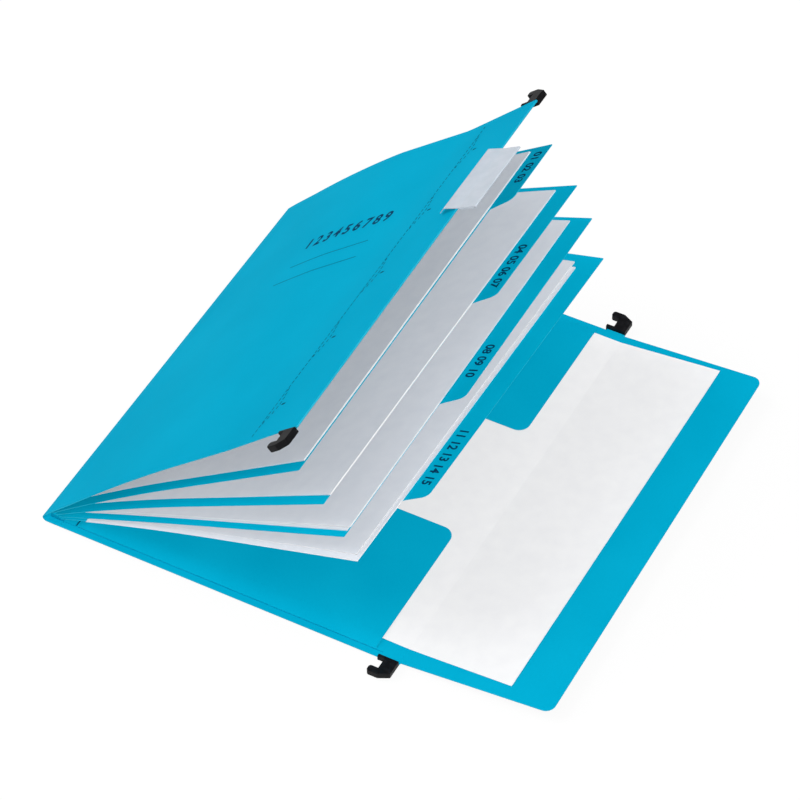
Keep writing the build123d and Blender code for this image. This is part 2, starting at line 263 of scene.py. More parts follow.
def scale_vector(tree, vector, factor):
    """A vector times a number."""
    node = tree.nodes.new("ShaderNodeVectorMath")
    node.operation = "SCALE"
    tree.links.new(vector, node.inputs[0])
    tree.links.new(factor, node.inputs["Scale"])
    return node.outputs[0]


def tree_with_inputs(name, inputs):
    """New Geometry Nodes tree with a geometry input, named inputs and a geometry output."""
    tree = bpy.data.node_groups.new(name, "GeometryNodeTree")
    tree.interface.new_socket("Geometry", in_out="OUTPUT", socket_type="NodeSocketGeometry")
    tree.interface.new_socket("Geometry", in_out="INPUT", socket_type="NodeSocketGeometry")
    for label, kind in inputs:
        tree.interface.new_socket(label, in_out="INPUT", socket_type=kind)
    entry = tree.nodes.new("NodeGroupInput")
    leave = tree.nodes.new("NodeGroupOutput")
    return tree, entry, leave


def close_tree(tree, geometry, material, leave):
    """End of each tree: real geometry, with its material."""
    realize = tree.nodes.new("GeometryNodeRealizeInstances")
    paint = tree.nodes.new("GeometryNodeSetMaterial")
    tree.links.new(geometry, realize.inputs["Geometry"])
    tree.links.new(realize.outputs["Geometry"], paint.inputs["Geometry"])
    tree.links.new(material, paint.inputs["Material"])
    tree.links.new(paint.outputs["Geometry"], leave.inputs[0])


print("helpers for node trees are defined")

# %% The bending tree
def sample_line(tree, line, factor):
    """Place and direction on a line, at a share of its length."""
    info = tree.nodes.new("GeometryNodeObjectInfo")
    sample = tree.nodes.new("GeometryNodeSampleCurve")
    sample.mode = "FACTOR"
    tree.links.new(line, info.inputs["Object"])
    tree.links.new(info.outputs["Geometry"], sample.inputs["Curves"])
    tree.links.new(factor, sample.inputs["Factor"])
    return sample.outputs["Position"], sample.outputs["Tangent"]


def mix_vectors(tree, first, second, factor):
    """A vector between two vectors."""
    step = scale_vector(tree, link_vector(tree, "SUBTRACT", second, first), factor)
    return link_vector(tree, "ADD", first, step)


def make_bend_tree():
    """Tree that bends a flat sheet between a near line and a far line."""
    tree, entry, leave = tree_with_inputs(
        "bend_between_lines",
        [
            ("Near Line", "NodeSocketObject"),
            ("Far Line", "NodeSocketObject"),
            ("Near Y", "NodeSocketFloat"),
            ("Far Y", "NodeSocketFloat"),
            ("Flat Length", "NodeSocketFloat"),
            ("Material", "NodeSocketMaterial"),
        ],
    )
    position = tree.nodes.new("GeometryNodeInputPosition")
    flat = tree.nodes.new("ShaderNodeSeparateXYZ")
    tree.links.new(position.outputs[0], flat.inputs[0])
    along = link_math(tree, "DIVIDE", flat.outputs["X"], entry.outputs["Flat Length"])
    width = link_math(tree, "SUBTRACT", entry.outputs["Far Y"], entry.outputs["Near Y"])
    inset = link_math(tree, "SUBTRACT", flat.outputs["Y"], entry.outputs["Near Y"])
    across = link_math(tree, "DIVIDE", inset, width)
    near_place, near_way = sample_line(tree, entry.outputs["Near Line"], along)
    far_place, far_way = sample_line(tree, entry.outputs["Far Line"], along)
    place = mix_vectors(tree, near_place, far_place, across)
    way = link_vector(tree, "NORMALIZE", mix_vectors(tree, near_way, far_way, across), (0, 0, 0))
    normal = link_vector(tree, "CROSS_PRODUCT", way, (0, 1, 0))
    spine_way = tree.nodes.new("ShaderNodeCombineXYZ")
    tree.links.new(flat.outputs["Y"], spine_way.inputs["Y"])
    lifted = link_vector(tree, "ADD", place, scale_vector(tree, normal, flat.outputs["Z"]))
    target = link_vector(tree, "ADD", lifted, spine_way.outputs[0])
    move = tree.nodes.new("GeometryNodeSetPosition")
    tree.links.new(entry.outputs["Geometry"], move.inputs["Geometry"])
    tree.links.new(target, move.inputs["Position"])
    close_tree(tree, move.outputs["Geometry"], entry.outputs["Material"], leave)
    return tree


bend_tree = make_bend_tree()
bend_inputs = [item.name for item in bend_tree.interface.items_tree if item.in_out == "INPUT"]
print("inputs of the bending tree:", bend_inputs)

# %% [markdown]
# ## From a flat piece to a bent one
#
# A piece gets the tree as a modifier and, where it is card, paper or steel, a Solidify modifier for its thickness.
# The result then becomes a plain mesh, because the exported model keeps no modifiers. Edges that are sharper than
# a set angle stay crisp, and the rest is shaded smooth.

# %% Bending a piece
SHARP_EDGE = math.radians(40)
LOOSENESS = "looseness"


def set_inputs(modifier, values):
    """Set a tree's inputs by name, through the identifiers that the modifier keeps them under."""
    for item in modifier.node_group.interface.items_tree:
        if item.in_out == "INPUT" and item.name in values:
            modifier[item.identifier] = values[item.name]


def bake(piece):
    """Replace a piece's mesh by what its modifiers make of it."""
    bpy.context.view_layer.update()
    depsgraph = bpy.context.evaluated_depsgraph_get()
    mesh = bpy.data.meshes.new_from_object(piece.evaluated_get(depsgraph))
    mesh.name = piece.name
    piece.modifiers.clear()
    piece.data = mesh
    return piece


def make_line(name, points):
    """Curve object through a line of points."""
    curve = bpy.data.curves.new(name, "CURVE")
    curve.dimensions = "3D"
    spline = curve.splines.new("POLY")
    spline.points.add(len(points) - 1)
    for spot, point in zip(spline.points, points):
        spot.co = (*point, 1)
    line = bpy.data.objects.new(name, curve)
    scene.collection.objects.link(line)
    return line


def bend(piece, lines, flat_length, materials, thick=0.0, tight_share=1.0):
    """Bend a flat piece between two lines, give it its thickness and make it a plain mesh."""
    curves = [make_line(piece.name + side, points) for side, points in zip(("_near", "_far"), lines)]
    for material in materials:
        piece.data.materials.append(material)
    modifier = piece.modifiers.new("bend", "NODES")
    modifier.node_group = bend_tree
    set_inputs(
        modifier,
        {
            "Near Line": curves[0],
            "Far Line": curves[1],
            "Near Y": -half_width,
            "Far Y": half_width,
            "Flat Length": flat_length,
            "Material": materials[0],
        },
    )
    if thick:
        solid = piece.modifiers.new("thickness", "SOLIDIFY")
        solid.thickness = thick
        solid.offset = 0
        solid.material_offset_rim = len(materials) - 1
        if LOOSENESS in piece.vertex_groups:
            solid.vertex_group = LOOSENESS
            solid.thickness_vertex_group = tight_share
    bake(piece)
    for curve in curves:
        bpy.data.objects.remove(curve)
    for polygon in piece.data.polygons:
        polygon.use_smooth = True
    piece.data.set_sharp_from_angle(angle=SHARP_EDGE)
    return piece


print("edges stay crisp above", round(math.degrees(SHARP_EDGE)), "degrees")

# %% [markdown]
# ## Materials
#
# Dyed card is coloured all through, with faint clouds and fibres, and its cut edge gets a paler copy of the card.
# The dividers get a brighter copy of the same card, painted light. Office paper is matt and almost white; the filed
# sheets get a darker, bluer copy of it, painted shade, the loose sheet a brighter copy, painted light, and the
# paper's cut edges a paler copy, a painted highlight. Each material reads Object coordinates, so that the pattern
# has a real scale, and a finish that is the same all over is set on the shader itself.

# %% Node helpers for materials
def new_material(name, roughness, **sockets):
    """Material with a Principled shader, its constant finish and the Object coordinates."""
    material = bpy.data.materials.new(name)
    material.use_nodes = True
    tree = material.node_tree
    shader = tree.nodes["Principled BSDF"]
    shader.inputs["Roughness"].default_value = roughness
    for label, value in sockets.items():
        shader.inputs[label.replace("_", " ")].default_value = value
    place = tree.nodes.new("ShaderNodeTexCoord")
    return material, tree, shader, place.outputs["Object"]


def noise(tree, place, size, detail=3.0, stretch=(1, 1, 1)):
    """Noise whose features are about a given size in metres."""
    mapping = tree.nodes.new("ShaderNodeMapping")
    mapping.inputs["Scale"].default_value = stretch
    tree.links.new(place, mapping.inputs["Vector"])
    texture = tree.nodes.new("ShaderNodeTexNoise")
    texture.inputs["Scale"].default_value = 1 / size
    texture.inputs["Detail"].default_value = detail
    tree.links.new(mapping.outputs["Vector"], texture.inputs["Vector"])
    return texture.outputs["Fac"]


def ramp(tree, factor, stops):
    """Colour ramp through (place, colour) stops."""
    node = tree.nodes.new("ShaderNodeValToRGB")
    elements = node.color_ramp.elements
    while len(elements) < len(stops):
        elements.new(0.5)
    for element, (place, colour) in zip(elements, stops):
        element.position = place
        element.color = (*colour, 1)
    tree.links.new(factor, node.inputs["Fac"])
    return node.outputs["Color"]


def mix_colours(tree, first, second, factor):
    """One colour multiplied by another."""
    node = tree.nodes.new("ShaderNodeMix")
    node.data_type = "RGBA"
    node.blend_type = "MULTIPLY"
    node.inputs["Factor"].default_value = factor
    tree.links.new(first, node.inputs["A"])
    tree.links.new(second, node.inputs["B"])
    return node.outputs["Result"]


def map_range(tree, value, low, high):
    """A 0 to 1 value spread between two numbers."""
    node = tree.nodes.new("ShaderNodeMapRange")
    node.inputs["To Min"].default_value = low
    node.inputs["To Max"].default_value = high
    tree.links.new(value, node.inputs["Value"])
    return node.outputs["Result"]


def bump(tree, shader, height, strength, distance):
    """Relief from a height, on the shader's normal."""
    node = tree.nodes.new("ShaderNodeBump")
    node.inputs["Strength"].default_value = strength
    node.inputs["Distance"].default_value = distance
    tree.links.new(height, node.inputs["Height"])
    tree.links.new(node.outputs["Normal"], shader.inputs["Normal"])


print("helpers for materials are defined")

# %% Card and paper
def make_card(name, dark, light, roughness):
    """Dyed card: cloudy colour, fine fibres and a faint tooth."""
    material, tree, shader, place = new_material(name, roughness, Specular_IOR_Level=0.005)
    clouds = noise(tree, place, 60 * MM, 2.0)
    fibres = noise(tree, place, 0.9 * MM, 4.0, (1, 0.35, 1))
    tooth = noise(tree, place, 0.35 * MM, 2.0)
    base = ramp(tree, clouds, [(0.3, dark), (0.7, light)])
    grain = ramp(tree, fibres, [(0.3, (0.93, 0.95, 0.96)), (0.7, (1, 1, 1))])
    tree.links.new(mix_colours(tree, base, grain, 0.8), shader.inputs["Base Color"])
    tree.links.new(map_range(tree, fibres, roughness - 0.07, roughness + 0.09), shader.inputs["Roughness"])
    bump(tree, shader, tooth, 0.12, 0.05 * MM)
    return material


def make_paper(name, dark, light):
    """Office paper: matt, with the cloudy look-through of its fibres."""
    material, tree, shader, place = new_material(name, 0.85, Specular_IOR_Level=0.25)
    clouds = noise(tree, place, 9 * MM, 4.0)
    tooth = noise(tree, place, 0.25 * MM, 2.0)
    tree.links.new(ramp(tree, clouds, [(0.3, dark), (0.7, light)]), shader.inputs["Base Color"])
    tree.links.new(map_range(tree, tooth, 0.78, 0.92), shader.inputs["Roughness"])
    bump(tree, shader, tooth, 0.1, 0.03 * MM)
    return material


card_blue = make_card("card_blue", (0.0, 0.372, 0.585), (0.001, 0.402, 0.622), 0.65)
# The dividers get a brighter copy of the covers' card: painted light for leaves that lie in the cover's shade.
divider_blue = make_card("divider_blue", (0.0, 0.445, 0.69), (0.001, 0.48, 0.735), 0.65)
card_cut = make_card("card_cut_edge", (0.01, 0.4, 0.58), (0.03, 0.46, 0.64), 0.75)
# The filed sheets get a darker, bluer copy of the paper, painted shade for their place between the leaves; the
# loose sheet gets a brighter copy, painted light.
paper_white = make_paper("paper_white", (0.775, 0.82, 0.895), (0.815, 0.857, 0.925))
paper_loose = make_paper("paper_loose", (0.87, 0.875, 0.89), (0.9, 0.905, 0.915))
# The paper's cut edge is a paler copy, a painted highlight.
paper_edge_highlight = make_paper("paper_cut_edge", (0.9, 0.905, 0.92), (0.94, 0.945, 0.955))
print("card and paper:", [m.name for m in (card_blue, divider_blue, card_cut, paper_white, paper_loose, paper_edge_highlight)])

# %% [markdown]
# ## Plastic, steel, ink and film
#
# The hooks are moulded black plastic, a little paler where hands rub it. The rails and fasteners are rolled strip,
# so their fine lines run along the spine. Ink is thin and lets the card's cloudiness through, and a dark ink also
# paints the shade in the cover's cuts and slots and in the board's slits. The label is milky film, which a share of
# transmission and a cloudy colour give.

# %% Plastic, steel, ink and film
def make_plastic(name, colour):
    """Moulded black plastic: a fine spark-eroded grain and paler, rubbed patches."""
    material, tree, shader, place = new_material(name, 0.5, Specular_IOR_Level=0.12)
    grain = noise(tree, place, 0.5 * MM, 3.0)
    rubbed = noise(tree, place, 5 * MM, 3.0)
    worn = tuple(channel * 1.9 + 0.004 for channel in colour)
    tree.links.new(ramp(tree, rubbed, [(0.45, colour), (0.75, worn)]), shader.inputs["Base Color"])
    tree.links.new(map_range(tree, grain, 0.42, 0.6), shader.inputs["Roughness"])
    bump(tree, shader, grain, 0.2, 0.04 * MM)
    return material


def make_steel(name, colour):
    """Rolled steel strip, with fine lines along the spine."""
    material, tree, shader, place = new_material(name, 0.35, Metallic=1.0)
    lines = noise(tree, place, 0.4 * MM, 3.0, (1, 0.02, 1))
    dull = tuple(channel * 0.82 for channel in colour)
    tree.links.new(ramp(tree, lines, [(0.3, dull), (0.7, colour)]), shader.inputs["Base Color"])
    tree.links.new(map_range(tree, lines, 0.27, 0.45), shader.inputs["Roughness"])
    bump(tree, shader, lines, 0.1, 0.02 * MM)
    return material


def make_print_and_shade_ink(name, colour):
    """Dark ink that lets a little of the card's cloudiness through, used for print and for painted shade."""
    material, tree, shader, place = new_material(name, 0.6, Specular_IOR_Level=0.005)
    clouds = noise(tree, place, 1.2 * MM, 3.0)
    thin = tuple(channel * 1.5 + 0.006 for channel in colour)
    tree.links.new(ramp(tree, clouds, [(0.35, colour), (0.8, thin)]), shader.inputs["Base Color"])
    return material


hook_black = make_plastic("hook_black", (0.004, 0.004, 0.005))
strip_steel = make_steel("strip_steel", (0.62, 0.63, 0.65))
print_ink = make_print_and_shade_ink("print_ink", (0.0, 0.038, 0.1))
# The same dark ink prints the cover's rules and paints the shade in the cover's cuts and slots and in the board's
# slits.
rule_ink_and_cut_shade = make_print_and_shade_ink("punch_shadow", (0.0, 0.055, 0.1))
clear_plastic, clear_tree, clear_shader, clear_place = new_material(
    "label_clear", 0.22, Transmission_Weight=0.3, IOR=1.46
)
haze = noise(clear_tree, clear_place, 7 * MM, 3.0)
clear_tree.links.new(
    ramp(clear_tree, haze, [(0.3, (0.62, 0.68, 0.75)), (0.7, (0.68, 0.73, 0.8))]),
    clear_shader.inputs["Base Color"],
)
clear_tree.links.new(map_range(clear_tree, haze, 0.18, 0.3), clear_shader.inputs["Roughness"])
print("materials:", [material.name for material in bpy.data.materials])

# %% [markdown]
# ## Covers and spine: one sheet of card
#
# The rear cover, the rounded spine and the front cover are one sheet. Its line runs in along the floor, round
# the fold and out along the front leaf, so the card has no seam at the spine. The front cover is scored beside
# its rail, so it has a soft kink there, and slots are punched next to the score.

# %% The covers' line
fold_radius = 2.9 * MM
fold_middle_radius = fold_radius - cover_card / 2
fold_centre = Vector((spine_x + fold_radius, 0, fold_radius))
ease_reach = 34 * MM
score_setback = 47.5 * MM
kink_setback = 68 * MM
kink_reach = 65 * MM
near_kink = 1.0 * MM
far_kink = 3.1 * MM


def cover_line(angle, bow, reach, kink):
    """Line of the covers' sheet, from the rear edge round the spine to the front edge."""
    front = bowed_line(front_leaf.hinge, angle, bow, reach)
    rear = [Vector((rear_end, 0, cover_card / 2)), Vector((fold_centre.x, 0, cover_card / 2))]
    root_slope = math.degrees(math.atan2(front[1].z - front[0].z, front[1].x - front[0].x))
    arc = []
    for step in range(1, 25):
        turn = 270 - (90 + 90 - root_slope) * step / 24
        arc.append(fold_centre + outward(turn) * fold_middle_radius)
    across = outward(angle + 90)
    dipped = []
    for step, point in enumerate(front):
        distance = reach * step / (len(front) - 1)
        share = max(0.0, 1 - abs(distance - reach + kink_setback) / kink_reach)
        if distance > ease_reach:
            dipped.append(point - across * kink * share)
    handle = (dipped[0] - arc[-1]).length / 3
    leave = arc[-1] + outward(root_slope) * handle
    arrive = dipped[0] - (dipped[1] - dipped[0]).normalized() * handle
    ease = interpolate_bezier(arc[-1], leave, arrive, dipped[0], 12)
    return rear + arc + [point.copy() for point in ease[1:-1]] + dipped


cover_lines = (
    cover_line(front_leaf.near_angle, front_leaf.near_bow, front_leaf.reach, near_kink),
    cover_line(front_leaf.far_angle, front_leaf.far_bow, front_leaf.far_reach, far_kink),
)
cover_length = sum(line_length(line) for line in cover_lines) / 2
print("covers' sheet, flat length in mm:", round(cover_length / MM, 1))

# %% The covers' sheet
slot_count = 5
slot_end_inset = 33.6 * MM
slot_setback = 39 * MM
slot_length = 4 * MM
slot_width = 1.8 * MM
slot_corner = slot_width / 2.2
slot_spacing = (2 * half_width - 2 * slot_end_inset) / (slot_count - 1)
slot_places = [-half_width + slot_end_inset + slot_spacing * index for index in range(slot_count)]

cover_corner = 1 * MM
cover_outline = rectangle(0, cover_length, -half_width, half_width, cover_corner)
slot_row = cover_length - slot_setback
cover_slots = [
    rectangle(
        slot_row - slot_length / 2,
        slot_row + slot_length / 2,
        place - slot_width / 2,
        place + slot_width / 2,
        slot_corner,
    )
    for place in slot_places
]
fold_start = rear_end - fold_centre.x
fold_pitch = 0.7 * MM
fold_slice_count = 20
fold_slices = [fold_start + index * fold_pitch for index in range(fold_slice_count)]
cover_sheet = cut_flat("cover_sheet", cover_outline, (7 * MM, 12 * MM), cover_slots, fold_slices)
bend(cover_sheet, cover_lines, cover_length, [card_blue, card_cut], cover_card)
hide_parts("rear_cover", "spine_fold", "front_cover")
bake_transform(cover_sheet)
print("cover sheet faces:", len(cover_sheet.data.polygons))

# %% [markdown]
# ## Perforation beside the score line
#
# A row of short cuts runs along the score line, and a second, closer row bulges out next to each slot. They
# repeat, so a small tree sets one dash on each point of a mesh line, and the same bending tree lays the rows on
# the cover. Each dash is dark: painted shade for its cut. The slots are cut in the card, and dark patches a little
# inside them paint the shade at their bottoms; they go with the dashes.

# %% The row tree
def make_row_tree():
    """Tree that sets dashes in a row along Y, which bulges out in X between its ends."""
    tree, entry, leave = tree_with_inputs(
        "dash_row",
        [
            ("Dash Width", "NodeSocketFloat"),
            ("Dash Length", "NodeSocketFloat"),
            ("Count", "NodeSocketInt"),
            ("Start", "NodeSocketVector"),
            ("Step", "NodeSocketVector"),
            ("Bulge", "NodeSocketFloat"),
            ("Material", "NodeSocketMaterial"),
        ],
    )
    line = tree.nodes.new("GeometryNodeMeshLine")
    tree.links.new(entry.outputs["Count"], line.inputs["Count"])
    tree.links.new(entry.outputs["Start"], line.inputs["Start Location"])
    tree.links.new(entry.outputs["Step"], line.inputs["Offset"])
    index = tree.nodes.new("GeometryNodeInputIndex")
    last = link_math(tree, "SUBTRACT", entry.outputs["Count"], 1)
    share = link_math(tree, "DIVIDE", index.outputs[0], last)
    arch = link_math(tree, "SINE", link_math(tree, "MULTIPLY", share, math.pi), 0)
    shift = tree.nodes.new("ShaderNodeCombineXYZ")
    tree.links.new(link_math(tree, "MULTIPLY", arch, entry.outputs["Bulge"]), shift.inputs["X"])
    bulge = tree.nodes.new("GeometryNodeSetPosition")
    tree.links.new(line.outputs["Mesh"], bulge.inputs["Geometry"])
    tree.links.new(shift.outputs[0], bulge.inputs["Offset"])
    dash = tree.nodes.new("GeometryNodeMeshGrid")
    dash.inputs["Vertices X"].default_value = 2
    dash.inputs["Vertices Y"].default_value = 2
    tree.links.new(entry.outputs["Dash Width"], dash.inputs["Size X"])
    tree.links.new(entry.outputs["Dash Length"], dash.inputs["Size Y"])
    place = tree.nodes.new("GeometryNodeInstanceOnPoints")
    tree.links.new(bulge.outputs["Geometry"], place.inputs["Points"])
    tree.links.new(dash.outputs["Mesh"], place.inputs["Instance"])
    close_tree(tree, place.outputs["Instances"], entry.outputs["Material"], leave)
    return tree


row_tree = make_row_tree()
print("nodes in the row tree:", len(row_tree.nodes))

# %% Rows of dashes
dash_size = (0.8 * MM, 2.6 * MM)


def dash_row(count, start, step, bulge):
    """A row of dashes as a flat mesh."""
    piece = bpy.data.objects.new("row", bpy.data.meshes.new("row"))
    scene.collection.objects.link(piece)
    modifier = piece.modifiers.new("row", "NODES")
    modifier.node_group = row_tree
    set_inputs(
        modifier,
        {
            "Dash Width": dash_size[0],
            "Dash Length": dash_size[1],
            "Count": count,
            "Start": start,
            "Step": (0, step, 0),
            "Bulge": bulge,
            "Material": rule_ink_and_cut_shade,
        },
    )
    return bake(piece)


def join_flat(name, pieces):
    """Join flat meshes into one piece."""
    bm = bmesh.new()
    for piece in pieces:
        bm.from_mesh(piece.data)
        bpy.data.objects.remove(piece)
    mesh = bpy.data.meshes.new(name)
    bm.to_mesh(mesh)
    bm.free()
    joined = bpy.data.objects.new(name, mesh)
    scene.collection.objects.link(joined)
    return joined


print("a dash in mm:", [round(side / MM, 1) for side in dash_size])

# %% Cuts on the front cover
score_row = cover_length - score_setback
print_and_shade_lift = cover_card / 2 + 0.06 * MM
dash_step = 4.1 * MM
row_count = int(2 * half_width / dash_step) - 2
row_start = -dash_step * (row_count - 1) / 2
rows = [dash_row(row_count, (score_row, row_start, print_and_shade_lift), dash_step, 0.0)]
group_count = 8
group_step = 4.4 * MM
group_bulge = 3.2 * MM
group_offset = 1.2 * MM
slot_shade_level = cover_card * 0.2
for place in slot_places:
    start = (score_row + group_offset, place - group_step * (group_count - 1) / 2, print_and_shade_lift)
    rows.append(dash_row(group_count, start, group_step, group_bulge))
for index, ring in enumerate(cover_slots):
    # A dark patch a little inside each slot, painted shade at its bottom.
    slot_shade = cut_flat(f"slot_bottom_{index}", ring, (slot_length, slot_length))
    lift(slot_shade, slot_shade_level)
    rows.append(slot_shade)
# The joined dashes and slot patches are painted shade for the cuts.
perforation = bend(join_flat("perforation", rows), cover_lines, cover_length, [rule_ink_and_cut_shade])
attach(perforation, "front")
print("cuts in the perforation:", len(perforation.data.polygons))

# %% [markdown]
# ## Front rail and its sleeve
#
# The card is turned over a flat steel rail at the front cover's edge. The cover is twisted a little here, so the
# rail and its sleeve are bent along the cover's own lines and stay close under it.

# %% Rail and sleeve under the front edge
rail_thick = 0.6 * MM
rail_depth = 8 * MM
rail_inset = 1.6 * MM
rail_gap = 0.02 * MM
rail_play = 0.06 * MM
sleeve_depth = 13 * MM
sleeve_reach = cover_length - 0.1 * MM
sleeve_turn = 1.4 * MM
sleeve_ease = 2.5 * MM


def smooth_step(value):
    """Soft step from 0 to 1."""
    value = min(1.0, max(0.0, value))
    return value * value * (3 - 2 * value)


rail_outline = rectangle(
    cover_length - rail_inset - rail_depth, cover_length - rail_inset, -half_width, half_width
)
front_rail_strip = cut_flat("front_rail_strip", rail_outline, (4 * MM, 12 * MM))
lift(front_rail_strip, -cover_card / 2 - rail_thick / 2 - rail_gap)
bend(front_rail_strip, cover_lines, cover_length, [strip_steel], rail_thick)
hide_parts("front_rail")
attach(front_rail_strip, "front")

sleeve_outline = rectangle(sleeve_reach - sleeve_depth, sleeve_reach, -half_width, half_width)
sleeve_slices = [sleeve_reach - offset * MM for offset in (0.2, 0.5, 0.8, 1.1, 1.4, 10.5, 11, 11.5, 12, 12.5)]
front_sleeve_card = cut_flat("front_sleeve_card", sleeve_outline, (6 * MM, 12 * MM), creases=sleeve_slices)
glued = -cover_card - 0.03 * MM
for vertex in front_sleeve_card.data.vertices:
    from_edge = sleeve_reach - vertex.co.x
    inside = min(from_edge / sleeve_turn, (sleeve_depth - from_edge) / sleeve_ease)
    vertex.co.z = glued - (rail_thick + rail_play) * smooth_step(inside)
bend(front_sleeve_card, cover_lines, cover_length, [card_blue, card_cut], cover_card)
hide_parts("front_sleeve")
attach(front_sleeve_card, "front")
print("front rail and sleeve follow the cover's lines")

# %% [markdown]
# ## Print on the front cover
#
# The cover carries a printed row of month numbers and two thin rules to write on. Print is a flat mesh a hair
# above the card, bent along with it.

# %% Rules and numbers
def flat_text(name, body, size, spacing, word_gap):
    """Bold numbers as a flat mesh, centred on the origin."""
    curve = bpy.data.curves.new(name, "FONT")
    curve.body = body
    curve.size = size
    curve.align_x = "CENTER"
    curve.align_y = "CENTER"
    curve.space_character = spacing
    curve.space_word = word_gap
    curve.offset = size * 0.028
    curve.resolution_u = 4
    words = bpy.data.objects.new(name, curve)
    scene.collection.objects.link(words)
    bpy.context.view_layer.update()
    mesh = bpy.data.meshes.new_from_object(words.evaluated_get(bpy.context.evaluated_depsgraph_get()))
    bpy.data.objects.remove(words)
    mesh.materials.clear()
    piece = bpy.data.objects.new(name, mesh)
    scene.collection.objects.link(piece)
    return piece


front_start = cover_length - front_reach
rule_starts = (91 * MM, 86 * MM)
rule_end = 170 * MM
rule_width = 0.6 * MM
for index, rule_y in enumerate((51.8 * MM, 35.2 * MM)):
    flat_rule = cut_flat(
        f"cover_rule_{index + 1}",
        rectangle(
            front_start + rule_starts[index],
            front_start + rule_end,
            rule_y - rule_width / 2,
            rule_y + rule_width / 2,
        ),
        (6 * MM, 6 * MM),
    )
    lift(flat_rule, print_and_shade_lift)
    bend(flat_rule, cover_lines, cover_length, [rule_ink_and_cut_shade])
    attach(flat_rule, "front")

cover_numbers = flat_text("cover_numbers", "1 2 3 4 5 6 7 8 9", 14 * MM, 1.0, 0.75)
title_centre = Vector((front_start + 132.5 * MM, 75.5 * MM, print_and_shade_lift))
cover_numbers.data.transform(Matrix.Translation(title_centre))
bend(cover_numbers, cover_lines, cover_length, [print_ink])
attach(cover_numbers, "front")
print("print on the cover: 2 rules and", len(cover_numbers.data.polygons), "faces of numbers")

# %% [markdown]
# ## Dividers
#
# Each divider is a card with an index tab that starts further along the spine than the one behind it. The tab
# slants in with a soft corner. Two holes near the spine let the fastener's prongs through.

# %% Divider cards and their numbers
divider_slant = 7 * MM
divider_fillet = 7 * MM
tab_root_fillet = 1.5 * MM
divider_corner = 0.8 * MM
tab_starts = [share * 2 * half_width - half_width for share in (0.8, 0.621, 0.4105, 0.203)]
fastener_distance = 28.5 * MM
prong_spacing = 80 * MM
punch_radius = 2.75 * MM
punch_steps = 16
root_gap = 0.3 * MM
tab_numbers = ("01 02 03", "04 05 06 07", "08 09 10", "11 12 13 14 15")
tab_number_centres = (133 * MM, 72 * MM, 10 * MM, -54 * MM)
tab_number_size = 9 * MM


def punched_holes():
    """Outlines of the two holes for a fastener's prongs."""
    rings = []
    for side in (-1, 1):
        ring = []
        for step in range(punch_steps):
            turn = 2 * math.pi * step / punch_steps
            x = fastener_distance + punch_radius * math.cos(turn)
            y = side * prong_spacing / 2 + punch_radius * math.sin(turn)
            ring.append((x, y))
        rings.append(ring)
    return rings


def divider_outline(tab_start):
    """Outline of a divider card with its index tab."""
    return rounded(
        [
            (root_gap, -divider_half_width, 0),
            (divider_edge, -divider_half_width, divider_corner),
            (divider_edge, tab_start - divider_slant / 2, tab_root_fillet),
            (tab_edge, tab_start + divider_slant / 2, divider_fillet),
            (tab_edge, divider_half_width, divider_corner),
            (root_gap, divider_half_width, 0),
        ]
    )


number_turn = Matrix.Rotation(-math.pi / 2, 4, "Z")
for index, leaf in enumerate(divider_leaves):
    body = f"leaf_{index + 1}"
    card = cut_flat(
        f"divider_card_{index + 1}", divider_outline(tab_starts[index]), (7 * MM, 12 * MM), punched_holes()
    )
    bend(card, leaf_lines(leaf), leaf.reach, [divider_blue, card_cut], divider_card)
    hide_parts(f"divider_{index + 1}")
    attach(card, body)

    numbers = flat_text(f"tab_numbers_{index + 1}", tab_numbers[index], tab_number_size, 1.0, 1.0)
    spot = Vector((divider_edge + divider_tab * 0.47, tab_number_centres[index], divider_card / 2 + 0.03 * MM))
    numbers.data.transform(Matrix.Translation(spot) @ number_turn)
    bend(numbers, leaf_lines(leaf), leaf.reach, [print_ink])
    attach(numbers, body)
    print(card.name, "faces:", len(card.data.polygons), "tab starts at", round(tab_starts[index] / MM, 1), "mm")

# %% [markdown]
# ## Filed sheets
#
# The filed sheets lie on their dividers, a little out of line, and their outer edges curl up by a fraction of a
# millimetre, as handled paper does. They follow the same lines as the card under them. Paper is tight at the
# fastener and loose at its outer edge, so a vertex group lets the thickness grow towards that edge, where the
# cut of the paper shows. The faces get the darker copy of the paper, painted shade, and the cut a paler one, a
# painted highlight.

# %% Sheets on the dividers
FiledSheet = namedtuple("FiledSheet", "name node divider shift outwards layer curl")
filed_lift = 0.06 * MM
loose_stack = 0.8 * MM
curl_wave = 46 * MM
filed_sheets = [
    FiledSheet("filed_sheet_1", "sheet_1", 0, 1.5 * MM, -0.4 * MM, 0, 0.3 * MM),
    FiledSheet("filed_sheet_2", "sheet_2", 1, 1.0 * MM, 1.1 * MM, 0, 0.5 * MM),
    FiledSheet("filed_sheet_3_under", "sheet_3_under", 2, -1.5 * MM, -0.6 * MM, 0, 0.1 * MM),
    FiledSheet("filed_sheet_3", "sheet_3", 2, 0.5 * MM, 1.4 * MM, 1, 0.5 * MM),
    FiledSheet("filed_sheet_4_under", "sheet_4_under", 3, -7.4 * MM, 0.7 * MM, 0, 0.1 * MM),
    FiledSheet("filed_sheet_4", "sheet_4", 3, -3.0 * MM, -2.0 * MM, 1, 0.3 * MM),
]


